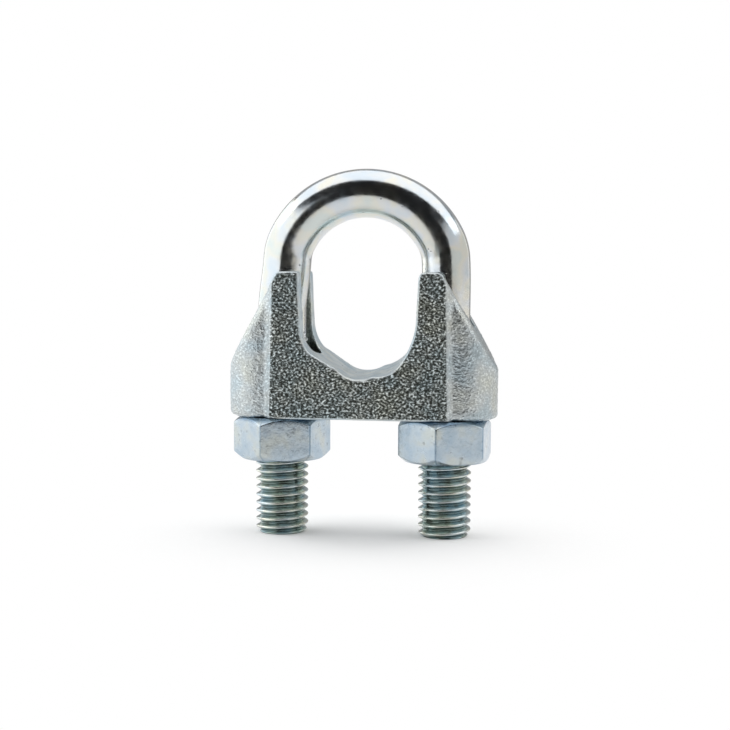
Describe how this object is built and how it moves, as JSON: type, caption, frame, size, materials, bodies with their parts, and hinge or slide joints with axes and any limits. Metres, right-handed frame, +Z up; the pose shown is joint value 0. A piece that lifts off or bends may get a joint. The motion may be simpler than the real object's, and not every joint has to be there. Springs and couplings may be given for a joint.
{
  "type": "wire rope clip",
  "caption": "Zinc-plated wire rope clip: a threaded U-bolt, a cast saddle with a strand-grooved rope seat, and hex nuts that draw the saddle up to the bow.",
  "frame": {"origin": "on the plane of the two leg ends that it stands on, midway between the legs", "axes": "+Z up, from the leg ends to the bow; X from the left leg to the right leg; Y along the rope that the clip holds"},
  "size_m": [0.0502, 0.018, 0.068],
  "materials": {
    "rod_zinc": "bright zinc plate on a smooth rolled rod",
    "cast_zinc": "bright zinc plate on coarse malleable casting skin",
    "nut_zinc": "satin blue zinc plate on cold-formed steel"
  },
  "bodies": {
    "u_bolt": {"u_bolt": "rod_zinc"},
    "saddle": {"saddle": "cast_zinc"},
    "nut_left": {"nut_left": "nut_zinc"},
    "nut_right": {"nut_right": "nut_zinc"}
  },
  "joints": [
    {"name": "saddle_slide", "type": "slide", "parent": "u_bolt", "child": "saddle", "axis": [0, 0, 1], "range_m": [-0.014, 0.014]},
    {"name": "nut_left_spin", "type": "hinge", "parent": "saddle", "child": "nut_left", "pos_m": [-0.01535, 0, 0.0181], "axis": [0, 0, 1], "range_deg": [-3361, 3361]},
    {"name": "nut_right_spin", "type": "hinge", "parent": "saddle", "child": "nut_right", "pos_m": [0.01535, 0, 0.0181], "axis": [0, 0, 1], "range_deg": [-3361, 3361]}
  ],
  "couplings": [
    {"joint": "nut_left_spin", "follows": "saddle_slide", "rad_per_m": 4188.8},
    {"joint": "nut_right_spin", "follows": "saddle_slide", "rad_per_m": 4188.8}
  ]
}
